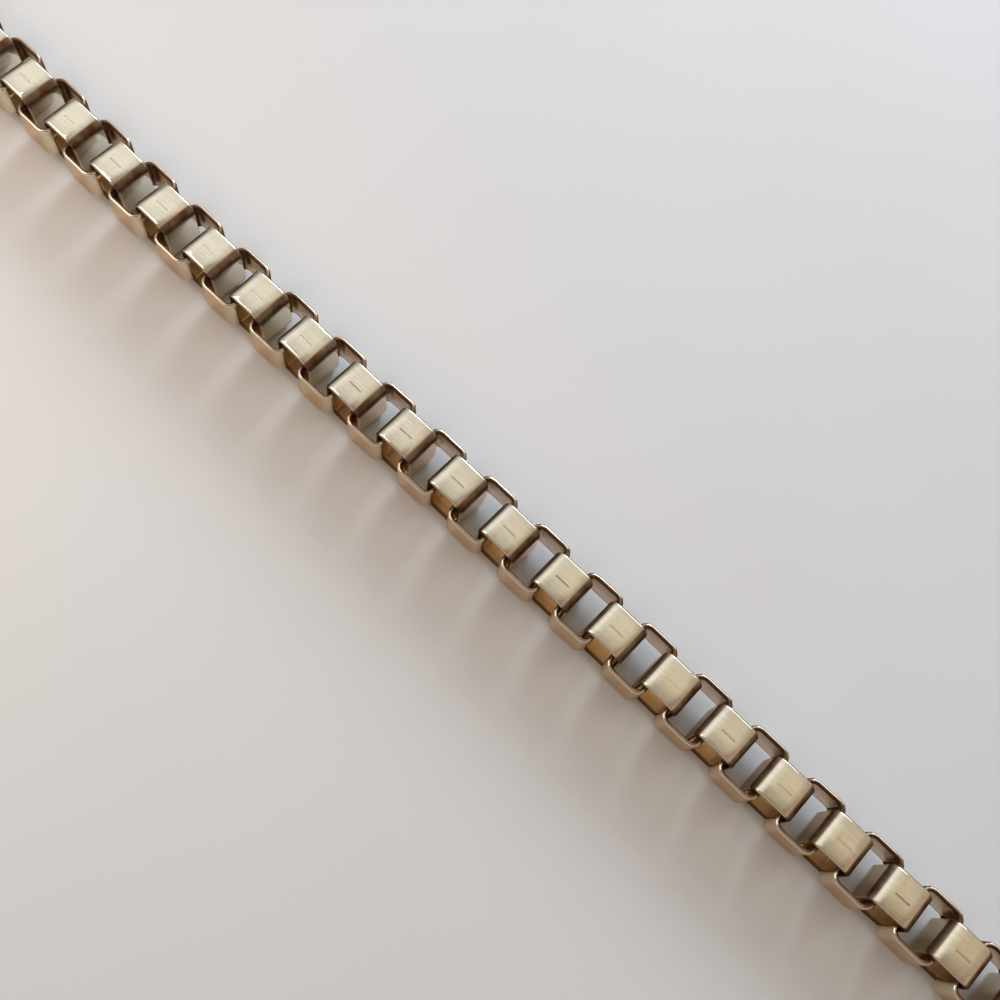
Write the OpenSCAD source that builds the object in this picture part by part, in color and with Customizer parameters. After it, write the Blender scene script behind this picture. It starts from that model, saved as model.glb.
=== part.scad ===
// Box chain necklace: square links bent from a flat strip, each turned a quarter turn from the
// last, laid out as one closed loop on a table. Millimetres, +Z up. The origin is the middle of
// the loop's footprint on the table, and the long straight runs lie along X.

/* [Loop] */
// Length of the closed necklace along its middle line, to the nearest whole pair of links
necklace_len = 450; // [400:5:470]
// Distance between the two straight runs, middle to middle
loop_w = 86; // [70:1:110]

/* [Links] */
// Distance from one link's middle to the next
link_pitch = 1.94; // [1.8:0.01:2.4]
// Width of the strip that each link is bent from
strip_w = 2.3; // [1.8:0.05:2.8]
// Thickness of the strip
strip_t = 0.26; // [0.2:0.01:0.34]
// Inside radius of the four bends of a link
bend_inner_r = 0.34; // [0.2:0.01:0.4]
// Clearance on each side of the neighbour's strip, inside a link
side_gap = 0.34; // [0.25:0.01:0.5]
// Free play between the end walls of two linked links
end_gap = 0.16; // [0.15:0.01:0.3]

/* [Clasp] */
// Length of the clasp's body
clasp_len = 11; // [8:0.5:16]
// Width of the clasp's body
clasp_w = 4.6; // [3.8:0.1:7]
// Radius of the upright corners of the clasp's body
clasp_corner_r = 0.9; // [0.5:0.1:1.5]
// Radius along the upper and lower edges at the ends of the clasp's body
clasp_edge_r = 0.7; // [0.4:0.1:1.2]
// Clearance between the clasp's body and the end wall of the first link
clasp_gap = 0.3; // [0.2:0.05:0.6]

/* [Hidden] */
$fn = 48;
gold = "#d3c48f";
// How far a cutting outline runs past what it cuts
past = 1;

// A link's outside: it holds its neighbour's strip in both directions
chain_w = strip_w + 2 * strip_t + 2 * side_gap;
link_len = link_pitch + 2 * strip_t + end_gap;
bend_r = bend_inner_r + strip_t;

// From the middle of the first link to the middle of the last, through the clasp
clasp_span = clasp_len + link_len + 2 * clasp_gap;

// An odd number of links, so that both that meet the clasp lie the same way
link_n = 2 * round((necklace_len - clasp_span) / link_pitch / 2) + 1;
middle_link = (link_n - 1) / 2;
loop_len = (link_n - 1) * link_pitch + clasp_span;
turn_r = loop_w / 2;
turn_len = PI * turn_r;
run_len = loop_len / 2 - turn_len;

// The clasp is wider than the chain, so the footprint's middle is a little off the runs' middle
footprint_shift = (max(clasp_w, chain_w) - chain_w) / 4;

function degrees_along(s) = s / turn_r * 180 / PI;

// The place and heading at a distance s along the loop, from the middle of the clasp
function on_loop(s) =
    let (half = run_len / 2, turn_a = s - half, far_run = turn_a - turn_len, turn_b = far_run - run_len)
    turn_a < 0 ? [s, -turn_r, 0]
    : far_run < 0 ? on_turn(half, 1, degrees_along(turn_a))
    : turn_b < 0 ? [half - far_run, turn_r, 180]
    : turn_b < turn_len ? on_turn(-half, -1, degrees_along(turn_b))
    : [turn_b - turn_len - half, -turn_r, 0];

// A point of a half turn about (x, 0), which starts at the near run on the right, side = 1, or at
// the far run on the left, side = -1
function on_turn(x, side, a) =
    [x + side * turn_r * sin(a), -side * turn_r * cos(a), a + (side > 0 ? 0 : 180)];

module rounded_rect(l, w, r) {
    square([l - 2 * r, w], center = true);
    square([l, w - 2 * r], center = true);
    for (x = [-1, 1], y = [-1, 1])
        translate([x * (l / 2 - r), y * (w / 2 - r)]) circle(r);
}

// One link with its opening upright, on its own middle
module link() {
    linear_extrude(strip_w, center = true) difference() {
        rounded_rect(link_len, chain_w, bend_r);
        rounded_rect(link_len - 2 * strip_t, chain_w - 2 * strip_t, bend_inner_r);
    }
}

// Moves what is drawn on a link's middle to the distance s along the loop
module at_loop(s) {
    place = on_loop(s);
    translate([place[0], place[1] + footprint_shift, chain_w / 2]) rotate([0, 0, place[2]]) children();
}

// The links from one number to another, counted from the clasp. Every second one lies flat, with
// its opening across the chain and a bright pad on top
module links(first, last) {
    for (i = [first:last])
        at_loop(clasp_span / 2 + i * link_pitch)
            rotate([i % 2 == 0 ? 90 : 0, 0, 0]) link();
}

// From the clasp round the right turn to the middle of the far run
module right_links() {
    color(gold) links(0, middle_link);
}

// From the middle of the far run round the left turn to the clasp
module left_links() {
    color(gold) links(middle_link + 1, link_n - 1);
}

module clasp_body() {
    intersection() {
        linear_extrude(chain_w, center = true) rounded_rect(clasp_len, clasp_w, clasp_corner_r);
        rotate([90, 0, 0]) linear_extrude(clasp_w + 2 * past, center = true)
            rounded_rect(clasp_len, chain_w, clasp_edge_r);
    }
}

// A plain box clasp, closed, with half an upright link at each end for the chain
module clasp() {
    eye_x = clasp_span / 2 - link_pitch;
    color(gold) at_loop(0) {
        clasp_body();
        for (side = [-1, 1]) translate([side * eye_x, 0, 0]) link();
    }
}

right_links();
left_links();
clasp();
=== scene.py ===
# %% [markdown]
# A gold-tone box chain, dressed for a close view
#
# A box chain, also called a Venetian chain, is made of square links. Each link is a short piece of
# flat strip bent round a square former, and each one is turned a quarter turn from the last, so the
# end wall of one link passes through the opening of the next. Half of the links lie flat and show a
# bright pad on top. The others stand with their opening up, and between two pads we look down into
# them and see the table. This notebook builds one such link, copies it along the whole necklace,
# adds the clasp, and gives the links a finish of pale gold plating on rolled strip and the clasp a
# brushed one.

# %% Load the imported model
import math
import random

import bmesh
import bpy
from mathutils import Matrix, Vector


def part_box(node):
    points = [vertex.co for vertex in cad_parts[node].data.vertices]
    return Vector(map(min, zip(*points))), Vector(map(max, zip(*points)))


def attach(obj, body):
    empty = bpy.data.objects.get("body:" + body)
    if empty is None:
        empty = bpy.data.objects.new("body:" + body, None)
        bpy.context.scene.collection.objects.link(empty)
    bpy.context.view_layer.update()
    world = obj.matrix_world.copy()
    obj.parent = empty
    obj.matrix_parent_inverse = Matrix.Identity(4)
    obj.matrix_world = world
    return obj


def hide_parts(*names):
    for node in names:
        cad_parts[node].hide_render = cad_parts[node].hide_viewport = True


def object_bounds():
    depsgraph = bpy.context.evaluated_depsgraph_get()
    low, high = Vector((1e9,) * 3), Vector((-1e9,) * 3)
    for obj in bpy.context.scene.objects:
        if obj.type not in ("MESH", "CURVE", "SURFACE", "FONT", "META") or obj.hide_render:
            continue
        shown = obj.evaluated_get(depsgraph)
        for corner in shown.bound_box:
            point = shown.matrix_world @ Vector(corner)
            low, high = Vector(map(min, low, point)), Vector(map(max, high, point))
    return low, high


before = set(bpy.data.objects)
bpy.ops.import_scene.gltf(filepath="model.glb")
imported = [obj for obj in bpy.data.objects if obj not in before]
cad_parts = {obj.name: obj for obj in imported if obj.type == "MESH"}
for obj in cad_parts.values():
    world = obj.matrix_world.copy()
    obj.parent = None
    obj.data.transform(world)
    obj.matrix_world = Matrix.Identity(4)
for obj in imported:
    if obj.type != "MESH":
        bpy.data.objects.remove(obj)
cad_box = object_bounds()
MM = 0.001
print("solids' box in mm:", [[round(v / MM, 2) for v in corner] for corner in cad_box])

# %% [markdown]
# The sizes of the chain
#
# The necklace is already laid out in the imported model, so the copies made here have to fall on the
# same places. The link's own sizes are written once, in millimetres turned to metres. Where the two
# straight runs lie is read from the solids' boxes, and the rest of the route follows from the number
# of links and their pitch, because a chain's length is only ever a whole number of links.

# %% Sizes of a link and of the clasp
LINK_PITCH = 1.94 * MM
STRIP_W = 2.3 * MM
STRIP_T = 0.26 * MM
BEND_R = 0.6 * MM
SIDE_GAP = 0.34 * MM
END_GAP = 0.16 * MM
CHAIN_W = STRIP_W + 2 * STRIP_T + 2 * SIDE_GAP
LINK_LEN = LINK_PITCH + 2 * STRIP_T + END_GAP
LINK_COUNT = 225
MIDDLE_LINK = (LINK_COUNT - 1) // 2

CLASP_LEN = 11 * MM
CLASP_W = 4.6 * MM
CLASP_CORNER_R = 0.9 * MM
CLASP_GAP = 0.3 * MM
CLASP_SPAN = CLASP_LEN + LINK_LEN + 2 * CLASP_GAP
print(f"a link is {LINK_LEN / MM:.2f} mm long and {CHAIN_W / MM:.2f} mm wide")

# %% Sizes of the loop
far_y = cad_box[1][1] - CHAIN_W / 2
near_y = sum(corner[1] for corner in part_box("clasp")) / 2
turn_r = (far_y - near_y) / 2
middle_y = (far_y + near_y) / 2
turn_len = math.pi * turn_r
run_len = ((LINK_COUNT - 1) * LINK_PITCH + CLASP_SPAN) / 2 - turn_len
print(f"runs at y {far_y / MM:.3f} and {near_y / MM:.3f} mm, each {run_len / MM:.2f} mm long")


# %% [markdown]
# The route of the chain
#
# The loop has two straight runs along X and two half turns. A single function gives the place and
# the heading at any distance along it, counted from the middle of the clasp. A link's number then
# says everything: its distance, and whether it lies flat (even) or is rolled upright (odd).
#
# A real chain is loose, and its links never lie quite in line. Each link gets a small turn of its
# own, well inside its play, and is lifted by as much as its lowest corner would sink. The metal is
# bright, so even half a degree changes what a link reflects, and that is what makes a row of copies
# look like a row of separate links.

# %% Where each link lies
def on_loop(s):
    """The place and heading at a distance s along the loop, from the middle of the clasp."""
    half = run_len / 2
    turn_a = s - half
    far_run = turn_a - turn_len
    turn_b = far_run - run_len
    if turn_a < 0:
        return s, near_y, 0.0
    if far_run < 0:
        a = turn_a / turn_r
        return half + turn_r * math.sin(a), middle_y - turn_r * math.cos(a), a
    if turn_b < 0:
        return half - far_run, far_y, math.pi
    if turn_b < turn_len:
        a = turn_b / turn_r
        return -half - turn_r * math.sin(a), middle_y + turn_r * math.cos(a), a + math.pi
    return turn_b - turn_len - half, near_y, 0.0


# %% How each link sits
MOST_TURN = {"X": math.radians(0.9), "Y": math.radians(0.7), "Z": math.radians(0.9)}
QUARTER_TURN = math.radians(90)
random.seed(7)
LINK_TONES = [random.random() for _ in range(LINK_COUNT)]
LINK_TURNS = [{axis: random.uniform(-most, most) for axis, most in MOST_TURN.items()}
              for _ in range(LINK_COUNT)]


def link_matrix(number):
    """Moves a flat link from the origin to its place: every second link is rolled upright."""
    x, y, heading = on_loop(CLASP_SPAN / 2 + number * LINK_PITCH)
    play = LINK_TURNS[number]
    lift = abs(play["X"]) * STRIP_W / 2 + abs(play["Y"]) * (LINK_LEN / 2 - BEND_R)
    matrix = Matrix.Translation((x, y, CHAIN_W / 2 + lift)) @ Matrix.Rotation(heading, 4, "Z")
    for axis, angle in play.items():
        matrix = matrix @ Matrix.Rotation(angle, 4, axis)
    upright = QUARTER_TURN if number % 2 else 0.0
    return matrix @ Matrix.Rotation(upright, 4, "X")


print("first link at", [round(v / MM, 2) for v in link_matrix(0).translation])


# %% [markdown]
# Small helpers
#
# Blender's operators act on whatever is selected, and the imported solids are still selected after
# loading. So everything is deselected before each new piece, and inside a piece the edges and faces
# are picked by their place or by the way they face.

# %% Helpers for modelling
SMALL = 0.01 * MM
Y_AXIS, Z_AXIS = 1, 2
ALONG = 0.99  # two directions count as the same when the cosine between them is above this
BY_AREA = {"mode": "FACE_AREA", "weight": 50, "keep_sharp": True}  # flat faces rule the shading


def deselect():
    bpy.ops.object.select_all(action="DESELECT")


def add_block(name, size):
    """A block round the origin, which is where every piece here starts."""
    deselect()
    bpy.ops.mesh.primitive_cube_add(size=1)
    block = bpy.context.object
    block.name = name
    block.scale = size
    bpy.ops.object.transform_apply(location=True, rotation=True, scale=True)
    return block


def pick(piece, faces=None, edges=None):
    """Opens the piece in edit mode with only the chosen faces or edges selected."""
    bpy.ops.object.mode_set(mode="EDIT")
    bpy.ops.mesh.select_mode(type="FACE" if faces else "EDGE")
    bpy.ops.mesh.select_all(action="DESELECT")
    mesh = bmesh.from_edit_mesh(piece.data)
    for element in mesh.faces if faces else mesh.edges:
        if (faces or edges)(element):
            element.select_set(True)
    mesh.select_flush_mode()
    bmesh.update_edit_mesh(piece.data)


def runs_along(edge, axis):
    a, b = (v.co for v in edge.verts)
    return abs((b - a).normalized()[axis]) > ALONG


def apply_modifier(piece, kind, **settings):
    modifier = piece.modifiers.new(kind.title(), kind)
    for key, value in settings.items():
        setattr(modifier, key, value)
    bpy.ops.object.modifier_apply(modifier=modifier.name)


# %% [markdown]
# One link
#
# The real link is a strip bent round a square former, so its wall has one thickness all the way
# round and its four bends are alike. The quickest true copy of that is a block whose four long edges
# are rounded, with its two open sides taken away: that is the strip's outer skin. Solidify then gives
# it the strip's thickness inwards, which makes the inside radius come out right by itself. A boolean
# cut would leave ragged faces at the bends.
#
# Rolled strip has round edges, not square ones. Two bevels that meet in the middle of the edge are
# enough for that, like a small roof, because smooth shading turns them into a half round. It matters
# a lot here: the half of each edge that faces the window mirrors it and the other half the dark room,
# which draws a light line and a dark line side by side along every rim.

# %% Model the link
BEND_STEPS = 3
EDGE_R = STRIP_T / 2
SQUARE_EDGE = math.radians(60)  # the strip's own edges turn by more than this, the bends' by less

link = add_block("link", (LINK_LEN, STRIP_W, CHAIN_W))
pick(link, edges=lambda e: runs_along(e, Y_AXIS))
bpy.ops.mesh.bevel(offset=BEND_R, segments=BEND_STEPS, affect="EDGES")
pick(link, faces=lambda f: abs(f.normal.y) > ALONG)
bpy.ops.mesh.delete(type="FACE")
bpy.ops.object.mode_set(mode="OBJECT")
apply_modifier(link, "SOLIDIFY", thickness=STRIP_T, offset=-1, use_even_offset=True)
apply_modifier(link, "BEVEL", width=EDGE_R, segments=1, limit_method="ANGLE", angle_limit=SQUARE_EDGE)
pick(link, edges=lambda e: True)
bpy.ops.mesh.remove_doubles(threshold=SMALL)
bpy.ops.object.mode_set(mode="OBJECT")
print("one link has", len(link.data.polygons), "faces")

# %% [markdown]
# The dash on the pad
#
# In the middle of each pad there is a short fine line along the strip, where the tool that closed
# the link has left its mark. It is cut into the mesh and not only into the material: four bisects
# across the pad leave a narrow face in the middle, which is inset a little and pushed down.

# %% Cut the dash
DASH_LEN = 0.9 * MM
DASH_W = 0.09 * MM
DASH_Y = 0.1 * MM
DASH_DEPTH = 0.02 * MM
DASH_SLOPE = 0.015 * MM
PAD_Z = CHAIN_W / 2


def on_pad(face):
    return face.normal.z > ALONG and face.calc_center_median().z > PAD_Z - SMALL


def in_dash(co):
    off = Vector((abs(co.x) - DASH_LEN / 2, abs(co.y - DASH_Y) - DASH_W / 2, PAD_Z - DASH_DEPTH - co.z))
    return max(off) < SMALL


for place, direction in (((-DASH_LEN / 2, 0, 0), (1, 0, 0)), ((DASH_LEN / 2, 0, 0), (1, 0, 0)),
                         ((0, DASH_Y - DASH_W / 2, 0), (0, 1, 0)), ((0, DASH_Y + DASH_W / 2, 0), (0, 1, 0))):
    pick(link, faces=on_pad)
    bpy.ops.mesh.bisect(plane_co=place, plane_no=direction, threshold=SMALL)
pick(link, faces=lambda f: on_pad(f) and (f.calc_center_median().xy - Vector((0, DASH_Y))).length < DASH_W)
bpy.ops.mesh.inset(thickness=DASH_SLOPE, depth=-DASH_DEPTH)
pick(link, edges=lambda e: all(in_dash(v.co) for v in e.verts))
bpy.ops.mesh.mark_sharp()
bpy.ops.object.mode_set(mode="OBJECT")
bpy.ops.object.shade_smooth()
apply_modifier(link, "WEIGHTED_NORMAL", **BY_AREA)
print("with its dash the link has", len(link.data.polygons), "faces")

# %% [markdown]
# The strip's own directions
#
# Rolled strip carries fine lines along its length, and they follow it round every bend. A pattern on
# plain object coordinates can't do that, so the link gets a UV map that unrolls the strip: U runs
# along the strip and V across it, both in millimetres. Two values are stored beside it: one is 1 on
# the inside of the strip, the other is 1 at the bottom of the dash, which gets a painted shade. Two
# more are filled in for each copy: a random number, so that no two links have the same lines, and
# whether the link stands upright, because the insides of the two kinds get different painted light
# and shade.

# %% Unroll the strip
CORE_X = LINK_LEN / 2 - BEND_R
CORE_Z = CHAIN_W / 2 - BEND_R
MID_R = BEND_R - STRIP_T / 2
STRIP_LEN = 4 * (CORE_X + CORE_Z) + 2 * math.pi * MID_R


def past_core(value, core):
    """How far a coordinate lies past the straight part, with its sign."""
    return math.copysign(max(abs(value) - core, 0), value)


def along_strip(x, z):
    """Distance along the middle of the strip, from the middle of the top pad, signed by x."""
    dx, dz = abs(past_core(x, CORE_X)), abs(past_core(z, CORE_Z))
    if dx == 0:
        s = abs(x) if z > 0 else STRIP_LEN / 2 - abs(x)
    elif dz == 0:
        s = CORE_X + MID_R * math.pi / 2 + CORE_Z - z
    elif z > 0:
        s = CORE_X + MID_R * math.atan2(dx, dz)
    else:
        s = STRIP_LEN / 2 - CORE_X - MID_R * math.atan2(dx, dz)
    return math.copysign(s, x)


def unroll(mesh):
    layer = mesh.uv_layers.new(name="strip")
    for polygon in mesh.polygons:
        first = None
        for loop in polygon.loop_indices:
            x, y, z = mesh.vertices[mesh.loops[loop].vertex_index].co
            s = along_strip(x, z)
            first = s if first is None else first
            s += STRIP_LEN * round((first - s) / STRIP_LEN)
            layer.data[loop].uv = (s / MM, y / MM)


def mark_faces(mesh):
    inside = mesh.attributes.new("inside", "FLOAT", "FACE")
    dash_bottom = mesh.attributes.new("dash_bottom", "FLOAT", "FACE")
    for polygon in mesh.polygons:
        x, y, z = polygon.center
        outward = Vector((past_core(x, CORE_X), 0, past_core(z, CORE_Z)))
        inside.data[polygon.index].value = float(polygon.normal.dot(outward) < 0)
        dash_bottom.data[polygon.index].value = float(all(in_dash(mesh.vertices[v].co) for v in polygon.vertices))
    return [int(sum(value.value for value in layer.data)) for layer in (inside, dash_bottom)]


unroll(link.data)
print("faces inside and in the dash:", mark_faces(link.data))
for layer_name in ("link_tone", "upright"):
    link.data.attributes.new(layer_name, "FLOAT", "POINT")
print(f"the strip of one link is {STRIP_LEN / MM:.2f} mm long")

# %% [markdown]
# The whole chain
#
# Every link is a copy with a mesh of its own, moved to its place in the mesh, and the copies are then
# joined in two pieces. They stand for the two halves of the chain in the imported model.

# %% Helpers for copies
def copy_link(name, matrix):
    """A copy of the link, with its place in a mesh of its own."""
    mesh = link.data.copy()
    mesh.transform(matrix)
    copy = bpy.data.objects.new(name, mesh)
    bpy.context.collection.objects.link(copy)
    return copy


def join(pieces):
    """Joins the pieces into the first one."""
    deselect()
    for piece in pieces:
        piece.select_set(True)
    bpy.context.view_layer.objects.active = pieces[0]
    bpy.ops.object.join()
    return pieces[0]


# %% Copy the link along the loop
def chain_piece(name, numbers, node):
    copies = []
    for number in numbers:
        copy = copy_link(f"{name}_{number}", link_matrix(number))
        for layer_name, value in (("link_tone", LINK_TONES[number]), ("upright", float(number % 2))):
            layer = copy.data.attributes[layer_name].data
            layer.foreach_set("value", [value] * len(layer))
        copies.append(copy)
    piece = join(copies)
    piece.name = piece.data.name = name
    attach(piece, "root")
    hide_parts(node)
    print(f"{name}: {len(copies)} links, {sum(len(p.vertices) - 2 for p in piece.data.polygons)} triangles")
    return piece


right_chain = chain_piece("right_chain", range(MIDDLE_LINK + 1), "right_links")
left_chain = chain_piece("left_chain", range(MIDDLE_LINK + 1, LINK_COUNT), "left_links")

# %% [markdown]
# The clasp
#
# The clasp lies out of sight, so it is a plain closed box clasp. Its body is a block with its upright
# corners rounded first and its upper and lower outlines after them, which is the order a polisher
# works in too. Its two eyes are upright links, half sunk in the body, so the same link mesh serves.

# %% Model the clasp
CORNER_STEPS = 5
OUTLINE_R = 0.35 * MM
OUTLINE_STEPS = 3
CRISP_EDGE = math.radians(50)  # an edge that turns by more than this isn't shaded smooth

clasp = add_block("box_clasp", (CLASP_LEN, CLASP_W, CHAIN_W))
pick(clasp, edges=lambda e: runs_along(e, Z_AXIS))
bpy.ops.mesh.bevel(offset=CLASP_CORNER_R, segments=CORNER_STEPS, affect="EDGES")
pick(clasp, edges=lambda e: all(abs(abs(v.co.z) - CHAIN_W / 2) < SMALL for v in e.verts))
bpy.ops.mesh.bevel(offset=OUTLINE_R, segments=OUTLINE_STEPS, affect="EDGES")
bpy.ops.object.mode_set(mode="OBJECT")
bpy.ops.object.shade_smooth_by_angle(angle=CRISP_EDGE)
apply_modifier(clasp, "WEIGHTED_NORMAL", **BY_AREA)
clasp.data.transform(Matrix.Translation((0, near_y, CHAIN_W / 2)))
print("the clasp's body has", len(clasp.data.polygons), "faces")

# %% Its eyes
eyes = []
for side in (-1, 1):
    eye_at = Matrix.Translation((side * (CLASP_SPAN / 2 - LINK_PITCH), near_y, CHAIN_W / 2))
    eyes.append(copy_link("eye", eye_at @ Matrix.Rotation(QUARTER_TURN, 4, "X")))
join([clasp, *eyes])
bpy.data.objects.remove(link)
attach(clasp, "root")
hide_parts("clasp")
print("with its eyes the clasp has", len(clasp.data.polygons), "faces")


# %% [markdown]
# Helpers for materials
#
# Colours are written as sRGB hex values, as a paint chart gives them, and one function turns them
# into the linear values that the shaders work in. Another adds a node, sets it and links it.

# %% Colour and node helpers
COLOURS, NUMBERS = {"data_type": "RGBA"}, {"data_type": "FLOAT"}
SMOOTH = {"interpolation_type": "SMOOTHSTEP"}
PRODUCT, LESS = {"operation": "MULTIPLY"}, {"operation": "SUBTRACT"}
LARGER, UNSIGNED = {"operation": "MAXIMUM"}, {"operation": "ABSOLUTE"}


def linear(hex_colour):
    """An sRGB hex value as the linear colour that Blender's shaders work in."""
    channels = [int(hex_colour[i:i + 2], 16) / 255 for i in (1, 3, 5)]
    return tuple(c / 12.92 if c <= 0.04045 else ((c + 0.055) / 1.055) ** 2.4 for c in channels) + (1.0,)


def new_material(name, **constants):
    """A material whose shader has the given constant values on its own sockets."""
    material = bpy.data.materials.new(name)
    material.use_nodes = True
    shader = material.node_tree.nodes["Principled BSDF"]
    for key, value in constants.items():
        shader.inputs[key.replace("_", " ")].default_value = value
    return material, material.node_tree, shader


def add(tree, kind, settings=None, **inputs):
    """Adds a node. Each input is a value or a socket to link, by name (_ for a space) or by place (i0)."""
    node = tree.nodes.new(kind)
    for key, value in (settings or {}).items():
        setattr(node, key, value)
    for key, value in inputs.items():
        by_place = key[0] == "i" and key[1:].isdigit()
        socket = node.inputs[int(key[1:])] if by_place else node.inputs[key.replace("_", " ")]
        if isinstance(value, bpy.types.NodeSocket):
            tree.links.new(value, socket)
        else:
            socket.default_value = value
    return node


def dress(piece, material):
    piece.data.materials.clear()
    piece.data.materials.append(material)
    print(piece.name, "is finished in", material.name)


# %% [markdown]
# Pale gold plating on rolled brass strip
#
# Plating is a mirror-like metal with the warm reflection of gold. Four things keep it from looking
# like a toy. Rolling has left fine lines along the strip, which smear reflections across it. Wear has
# made the round edges paler. Dark brown painted shade lies on the bends beside the pads, along the
# rims and in the dash, where the links shade each other and the edges would mirror a dark room. And
# the lower end walls are painted paler, a painted sheen for the lit table that they mirror. All of it
# follows the UV map that unrolls the strip, so it goes round the bends as on the real link. There the
# sizes are in millimetres, and a noise with a fourth coordinate gives every link lines of its own.

# %% Lines and clouds of the plated strip
LINE_LEN = 1.6
LINE_GAP = 0.12  # the real lines are finer than a pixel here, so they are drawn at 0.12 mm
CLOUD = 0.7
SEED_RANGE = 50.0
FOUR_D = {"noise_dimensions": "4D"}
NOISE_SPAN = {"From_Min": 0.3, "From_Max": 0.7}  # nearly all of a noise lies between these

gold_strip, tree, shader = new_material("gold_plated_rolled_strip", Metallic=1.0)
strip = add(tree, "ShaderNodeUVMap", {"uv_map": "strip"}).outputs["UV"]
tone, inside, dash_bottom, upright = (
    add(tree, "ShaderNodeAttribute", {"attribute_name": layer_name}).outputs["Fac"]
    for layer_name in ("link_tone", "inside", "dash_bottom", "upright"))
seed = add(tree, "ShaderNodeMath", PRODUCT, i0=tone, i1=SEED_RANGE).outputs[0]
stretched = add(tree, "ShaderNodeMapping", Vector=strip, Scale=(1 / LINE_LEN, 1 / LINE_GAP, 1))
lines = add(tree, "ShaderNodeTexNoise", FOUR_D, Vector=stretched.outputs[0], W=seed,
            Scale=1.0, Detail=2.0, Roughness=0.6).outputs["Fac"]
clouds = add(tree, "ShaderNodeTexNoise", FOUR_D, Vector=strip, W=seed,
             Scale=1 / CLOUD, Detail=2.0).outputs["Fac"]
print(f"lines {LINE_GAP} mm apart and clouds {CLOUD} mm wide follow the strip")

# %% [markdown]
# Painted shade in dark brown
#
# Painted shade lies in a narrow band on each bend beside a pad, where the next link shades the end
# wall, along the inner rims, thinly on the crown of every round edge, and in the dash. The bands lean
# a little towards one end of the link. Below them the end walls are painted paler again, as a painted
# sheen, and one of the two keeps a thin painted shade, so the two end walls differ. So one value tells
# how far along the strip a point is from the middle of the pad, and another how far across it, and
# bands of both are put together by taking the larger one.

# %% Painted shade on the end walls
WALL_MIDDLE = STRIP_LEN / 4 / MM
SHEEN_REACH = 0.8  # an end wall is painted paler, a painted sheen, up to this far from its middle
SHADE_START, SHADE_END = 0.90, 1.35  # the band beside a pad, from the pad's middle
SHADE_RISE, BAND_FADE = 0.12, 0.35
SHADE_LEAN = 0.07
THIN_SHADE = 0.38  # a thin painted shade left on the lower part of one end wall
PATCH_SPAN = {"From_Min": 0.35, "From_Max": 0.65, "To_Min": 0.75, "To_Max": 1.0}

place = add(tree, "ShaderNodeSeparateXYZ", Vector=strip)
along, across = place.outputs[0], place.outputs[1]
leaning = add(tree, "ShaderNodeMath", LESS, i0=along, i1=SHADE_LEAN).outputs[0]
from_pad, leaning, to_edge = (add(tree, "ShaderNodeMath", UNSIGNED, i0=distance).outputs[0]
                              for distance in (along, leaning, across))
# a band of painted shade on each bend beside a pad, where the next link shades the end wall
on_bend = add(tree, "ShaderNodeMapRange", SMOOTH, Value=leaning,
              From_Min=SHADE_START, From_Max=SHADE_START + SHADE_RISE).outputs[0]
off_bend = add(tree, "ShaderNodeMapRange", SMOOTH, Value=leaning,
               From_Min=SHADE_END, From_Max=SHADE_END + BAND_FADE, To_Min=1.0, To_Max=0.0).outputs[0]
bend_shade = add(tree, "ShaderNodeMath", PRODUCT, i0=on_bend, i1=off_bend).outputs[0]

off_wall = add(tree, "ShaderNodeMath", LESS, i0=from_pad, i1=WALL_MIDDLE).outputs[0]
off_wall = add(tree, "ShaderNodeMath", UNSIGNED, i0=off_wall).outputs[0]
# the lower part of each end wall: painted paler, a painted sheen for the lit table it mirrors, and smoother
lower_wall_sheen = add(tree, "ShaderNodeMapRange", SMOOTH, Value=off_wall,
             From_Min=SHEEN_REACH, From_Max=SHEEN_REACH + BAND_FADE, To_Min=1.0, To_Max=0.0).outputs[0]
# one end wall keeps a thin painted shade on its lower part, the other none
one_end = add(tree, "ShaderNodeMapRange", Value=along, From_Max=SHADE_START, To_Max=THIN_SHADE).outputs[0]
thin_shade = add(tree, "ShaderNodeMath", PRODUCT, i0=one_end, i1=lower_wall_sheen).outputs[0]
wall_shade = add(tree, "ShaderNodeMath", LARGER, i0=bend_shade, i1=thin_shade).outputs[0]
patchy = add(tree, "ShaderNodeMapRange", Value=clouds, **PATCH_SPAN).outputs[0]
painted_shade = add(tree, "ShaderNodeMath", PRODUCT, i0=wall_shade, i1=patchy).outputs[0]
print(f"the film starts {SHADE_START:.2f} mm from the middle of a pad")

# %% Painted shade along the edges and in the dash
HALF_W = STRIP_W / 2 / MM
# the two rim bands and the crown band are painted shade along the rims; the wear band is edge wear
EDGE_BANDS = {  # how far from the strip's edge each band begins and is full, and its most
    "upright rim": (0.26, 0.15, 0.95),
    "rim": (0.20, 0.14, 0.95),
    "crown": (0.07, 0.03, 0.4),
    "wear": (0.14, 0.10, 1.0),
}
DASH_SPAN = {"To_Min": 0.12, "To_Max": 0.55}

bands = {
    band: add(tree, "ShaderNodeMapRange", SMOOTH, Value=to_edge, From_Min=HALF_W - begins,
              From_Max=HALF_W - full, To_Max=most).outputs[0]
    for band, (begins, full, most) in EDGE_BANDS.items()}
rim_shade = add(tree, "ShaderNodeMath", PRODUCT, i0=bands["upright rim"], i1=upright).outputs[0]
rim_shade = add(tree, "ShaderNodeMath", LARGER, i0=rim_shade, i1=bands["rim"]).outputs[0]
rim_shade = add(tree, "ShaderNodeMath", PRODUCT, i0=rim_shade, i1=inside).outputs[0]
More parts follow.
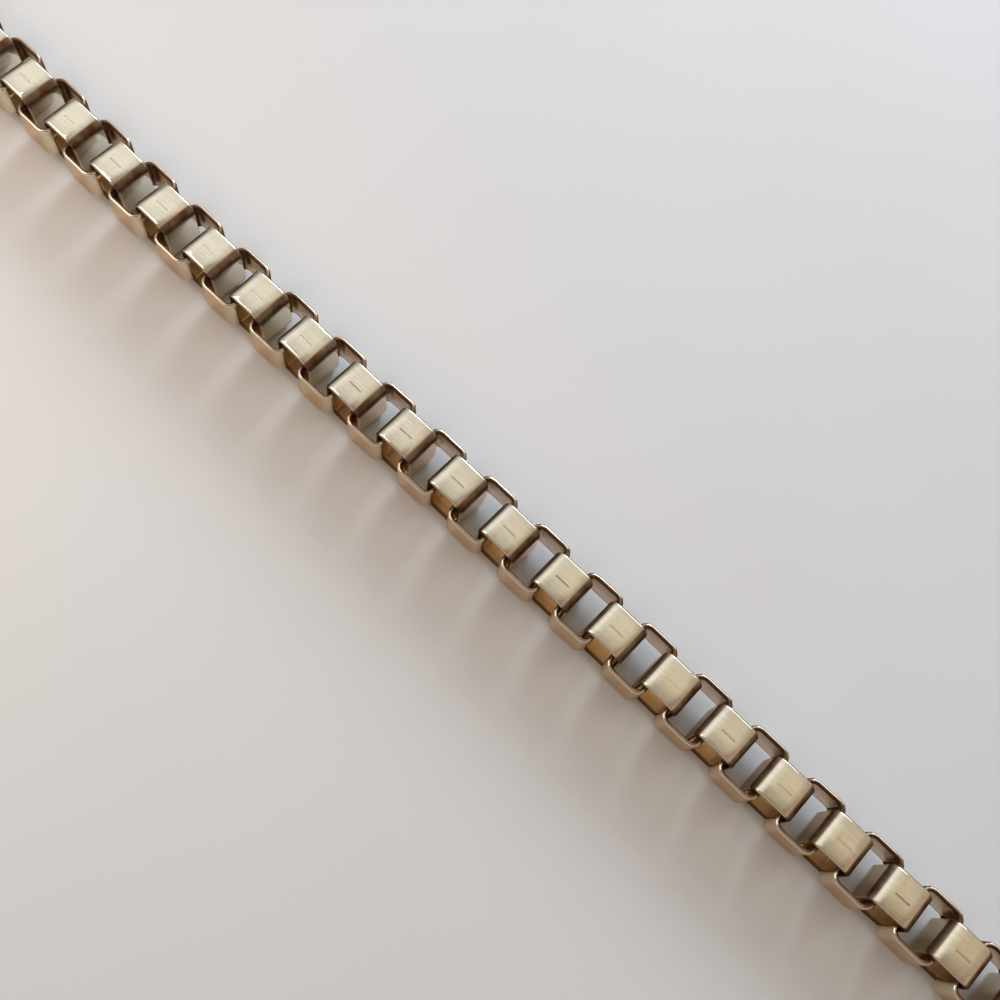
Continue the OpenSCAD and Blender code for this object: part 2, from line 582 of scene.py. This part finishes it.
# the bottom of the dash is painted darker, a painted shade in the groove, by a random amount per link
dash_shade = add(tree, "ShaderNodeMapRange", Value=tone, **DASH_SPAN).outputs[0]
dash_shade = add(tree, "ShaderNodeMath", PRODUCT, i0=dash_bottom, i1=dash_shade).outputs[0]
for more in (rim_shade, bands["crown"], dash_shade):
    painted_shade = add(tree, "ShaderNodeMath", LARGER, i0=painted_shade, i1=more).outputs[0]
print("bands along the edges:", ", ".join(bands))

# %% [markdown]
# Colour, gloss and relief of the strip
#
# A clean pad has the plating's own pale gold. It turns paler where it is worn, and the lower end
# walls are painted paler too, a painted sheen. Inside a link, where no cloth polishes it, it is less
# glossy, and its colour is painted light: warm amber inside the flat links and pale inside the upright
# ones, for the light that the gold walls pass between them. The painted shade covers all of that in
# brown and takes away most of the gloss. A metal's Specular Tint is the colour that it has when we
# look along its surface, and it is kept warm, as the gold is. The relief is small but shows in every
# reflection: soft clouds that bending left in the strip, and the fine lines of the mill.

# %% Colour of the strip
GOLD = linear("#DDD5BE")
# this paler gold is both real edge wear and the painted sheen of the lower end walls
GOLD_WORN_AND_SHEEN = linear("#F3ECDA")
PAINTED_AMBER_INSIDE = linear("#F6DAAE")
PAINTED_PALE_INSIDE = linear("#F6E6D4")
# the brown and its grazing tint are the colour of the painted shade
SHADE_BROWN = linear("#6C4C33")
GRAZING = linear("#F0D6C4")
GRAZING_SHADE = linear("#7A6650")
WORN_LINES = {"From_Min": 0.4, "From_Max": 0.7, "To_Max": 0.45}

wear = add(tree, "ShaderNodeMapRange", Value=lines, **WORN_LINES).outputs[0]
wear = add(tree, "ShaderNodeMath", LARGER, i0=wear, i1=bands["wear"]).outputs[0]
# painted light inside a link: warm amber inside the flat links, pale inside the upright ones
painted_inside = add(tree, "ShaderNodeMix", COLOURS, Factor=upright, i6=PAINTED_AMBER_INSIDE, i7=PAINTED_PALE_INSIDE).outputs[2]
colour = GOLD
# worn gold, painted sheen, painted light inside, and painted shade over all, in this order
for where, turns_to in ((wear, GOLD_WORN_AND_SHEEN), (lower_wall_sheen, GOLD_WORN_AND_SHEEN), (inside, painted_inside), (painted_shade, SHADE_BROWN)):
    colour = add(tree, "ShaderNodeMix", COLOURS, Factor=where, i6=colour, i7=turns_to).outputs[2]
tree.links.new(colour, shader.inputs["Base Color"])
grazing = add(tree, "ShaderNodeMix", COLOURS, Factor=painted_shade, i6=GRAZING, i7=GRAZING_SHADE).outputs[2]
tree.links.new(grazing, shader.inputs["Specular Tint"])
print("the strip has its plating, its wear and its film")

# %% Gloss and relief of the strip
POLISH = {"To_Min": 0.06, "To_Max": 0.14}
ROUGH_WALL = 0.12
ROUGH_INSIDE = 0.28
ROUGH_SHADED = 0.5
CLOUD_DEPTH = 0.017 * MM
LINE_DEPTH = 0.0012 * MM

rough = add(tree, "ShaderNodeMapRange", Value=lines, **NOISE_SPAN, **POLISH).outputs[0]
for where, turns_to in ((lower_wall_sheen, ROUGH_WALL), (inside, ROUGH_INSIDE), (painted_shade, ROUGH_SHADED)):
    rough = add(tree, "ShaderNodeMix", NUMBERS, Factor=where, i2=rough, i3=turns_to).outputs[0]
tree.links.new(rough, shader.inputs["Roughness"])
cloud_relief = add(tree, "ShaderNodeBump", Height=clouds, Distance=CLOUD_DEPTH, Strength=1.0).outputs[0]
line_relief = add(tree, "ShaderNodeBump", Height=lines, Distance=LINE_DEPTH, Strength=1.0,
                  Normal=cloud_relief).outputs[0]
tree.links.new(line_relief, shader.inputs["Normal"])
for piece in (right_chain, left_chain):
    dress(piece, gold_strip)

# %% [markdown]
# The clasp's finish
#
# A clasp is pressed from sheet and brushed along its length before it is plated. It has no unrolled
# strip to follow, so its brushing is a noise on object coordinates, stretched along X.

# %% Brushed plate
BRUSH_LEN = 4.0 * MM
BRUSH_GAP = 0.12 * MM
BRUSH_DEPTH = 0.002 * MM
BRUSHED_ROUGH = {"To_Min": 0.2, "To_Max": 0.36}
GOLD_BRUSHED = linear("#D6C69C")

brushed_gold, tree, shader = new_material("gold_plated_brushed_brass", Metallic=1.0)
here = add(tree, "ShaderNodeTexCoord").outputs["Object"]
stretched = add(tree, "ShaderNodeMapping", Vector=here, Scale=(1 / BRUSH_LEN, 1 / BRUSH_GAP, 1 / BRUSH_GAP))
brushing = add(tree, "ShaderNodeTexNoise", Vector=stretched.outputs[0], Scale=1.0, Detail=3.0).outputs["Fac"]
brushed = add(tree, "ShaderNodeMix", COLOURS, Factor=brushing, i6=GOLD_BRUSHED, i7=GOLD).outputs[2]
tree.links.new(brushed, shader.inputs["Base Color"])
polish = add(tree, "ShaderNodeMapRange", Value=brushing, **NOISE_SPAN, **BRUSHED_ROUGH)
tree.links.new(polish.outputs[0], shader.inputs["Roughness"])
relief = add(tree, "ShaderNodeBump", Height=brushing, Distance=BRUSH_DEPTH, Strength=1.0)
tree.links.new(relief.outputs[0], shader.inputs["Normal"])
dress(clasp, brushed_gold)

# %% [markdown]
# The table
#
# The necklace lies on a plain pale board with a matt face. It is not part of the object, but the
# metal mirrors it everywhere, so its tone and its faint mottling count.

# %% The board under the chain
FLOOR_SIDE = 3.0
MOTTLE = 14 * MM
MOTTLE_DARK, MOTTLE_PALE = linear("#D2D3D3"), linear("#D6D7D9")
BOARD_ROUGH = 0.7

deselect()
bpy.ops.mesh.primitive_plane_add(size=FLOOR_SIDE)
floor = bpy.context.object
floor.name = "floor"
board, tree, shader = new_material("matt_white_board", Roughness=BOARD_ROUGH)
here = add(tree, "ShaderNodeTexCoord").outputs["Object"]
mottle = add(tree, "ShaderNodeTexNoise", Vector=here, Scale=1 / MOTTLE, Detail=3.0).outputs["Fac"]
tint = add(tree, "ShaderNodeMix", COLOURS, Factor=mottle, i6=MOTTLE_DARK, i7=MOTTLE_PALE)
tree.links.new(tint.outputs[2], shader.inputs["Base Color"])
dress(floor, board)


# %% [markdown]
# Light
#
# A bright metal shows its surroundings more than itself, so the room matters as much as the lamps.
# The photographed chain lies near a window: the side towards it is cool and bright, and the side
# where the viewer stands is warm and dim. The world repeats that with five soft glows, each with a
# direction, a focus and a colour. A large lamp low on the window's side adds the soft shadow on the
# near side of the chain. A small one in the same direction gives that shadow its core, and slips
# under the upright links to make a pale patch in each opening. A faint warm lamp on the viewer's side
# keeps the near walls from going dark.

# %% The room
ROOM = {  # direction, focus and colour of each glow
    "left side": ((-0.75, 0.28, 0.9), 5, (1.08, 1.07, 1.08)),
    "far side": ((0.0, 1.0, 0.25), 5, (0.58, 0.59, 0.64)),
    "ceiling": ((0.15, 0.35, 1.0), 12, (0.47, 0.41, 0.33)),
    "right side": ((1.0, 0.2, 0.5), 3, (0.52, 0.41, 0.31)),
    "viewer's side": ((0.0, -1.0, 0.5), 4, (0.46, 0.29, 0.18)),
}
room = bpy.data.worlds.new("room")
bpy.context.scene.world = room
room.use_nodes = True
tree = room.node_tree
sky = add(tree, "ShaderNodeTexCoord").outputs["Generated"]
total = (0.0, 0.0, 0.0)
for direction, focus, colour in ROOM.values():
    towards = Vector(direction).normalized()
    facing = add(tree, "ShaderNodeVectorMath", {"operation": "DOT_PRODUCT"}, i0=sky, i1=towards)
    facing = add(tree, "ShaderNodeMath", LARGER, i0=facing.outputs["Value"], i1=0.0)
    glow = add(tree, "ShaderNodeMath", {"operation": "POWER"}, i0=facing.outputs[0], i1=float(focus))
    tinted = add(tree, "ShaderNodeVectorMath", {"operation": "SCALE"}, i0=colour, Scale=glow.outputs[0])
    total = add(tree, "ShaderNodeVectorMath", {"operation": "ADD"}, i0=total, i1=tinted.outputs[0]).outputs[0]
tree.links.new(total, tree.nodes["Background"].inputs["Color"])
tree.nodes["Background"].inputs["Strength"].default_value = 1.0
print("the room glows from:", ", ".join(ROOM))

# %% The lamps
LAMPS = {  # direction, distance and sides in metres, power in watts, colour
    "window": ((-0.20, 0.88, 0.44), 0.25, (0.30, 0.11), 0.36, "#DCEFFF"),
    "window gap": ((-0.30, 0.88, 0.38), 0.25, (0.07, 0.06), 0.27, "#F0F5FF"),
    "near fill": ((-62.0, -32.0, 46.0), 0.084, (0.05, 0.05), 0.022, "#FFE9D2"),
}
subject = Vector((0, far_y, 0))
for name, (direction, distance, sides, watts, hex_colour) in LAMPS.items():
    direction = Vector(direction)
    deselect()
    bpy.ops.object.light_add(type="AREA", location=subject + direction.normalized() * distance)
    lamp = bpy.context.object
    lamp.name = name
    lamp.rotation_euler = direction.to_track_quat("Z", "Y").to_euler()
    lamp.data.shape = "RECTANGLE"
    lamp.data.size, lamp.data.size_y = sides
    lamp.data.energy = watts
    lamp.data.color = linear(hex_colour)[:3]
    print(f"{name}: {watts} W from {distance / MM:.0f} mm away")

# %% [markdown]
# The camera
#
# The photo was taken from close above the chain, so the links shrink clearly towards the upper left
# corner. The camera's place, lean and focal length were fitted to the links' corners in the photo.

# %% Camera
FOCAL_PIXELS = 1194.9
PHOTO_PIXELS = 1000
SENSOR_W = 36.0
LEANS = {"X": math.radians(16.51), "Y": math.radians(8.42), "Z": math.radians(42.99)}
CAMERA_X, CAMERA_Y, CAMERA_Z = 7.85 * MM, -17.23 * MM, 64.4 * MM  # from the middle of the far run
CLIP_START = 1 * MM

camera_data = bpy.data.cameras.new("camera")
camera = bpy.data.objects.new("camera", camera_data)
bpy.context.collection.objects.link(camera)
camera_data.sensor_width = SENSOR_W
camera_data.lens = SENSOR_W * FOCAL_PIXELS / PHOTO_PIXELS
camera_data.clip_start = CLIP_START
camera_place = Matrix.Translation((CAMERA_X, far_y + CAMERA_Y, CAMERA_Z))
for axis, angle in LEANS.items():
    camera_place = camera_place @ Matrix.Rotation(angle, 4, axis)
camera.matrix_world = camera_place
bpy.context.scene.camera = camera
bpy.context.scene.view_settings.view_transform = "Standard"
print(f"camera {camera_place.translation.z / MM:.1f} mm above the board")
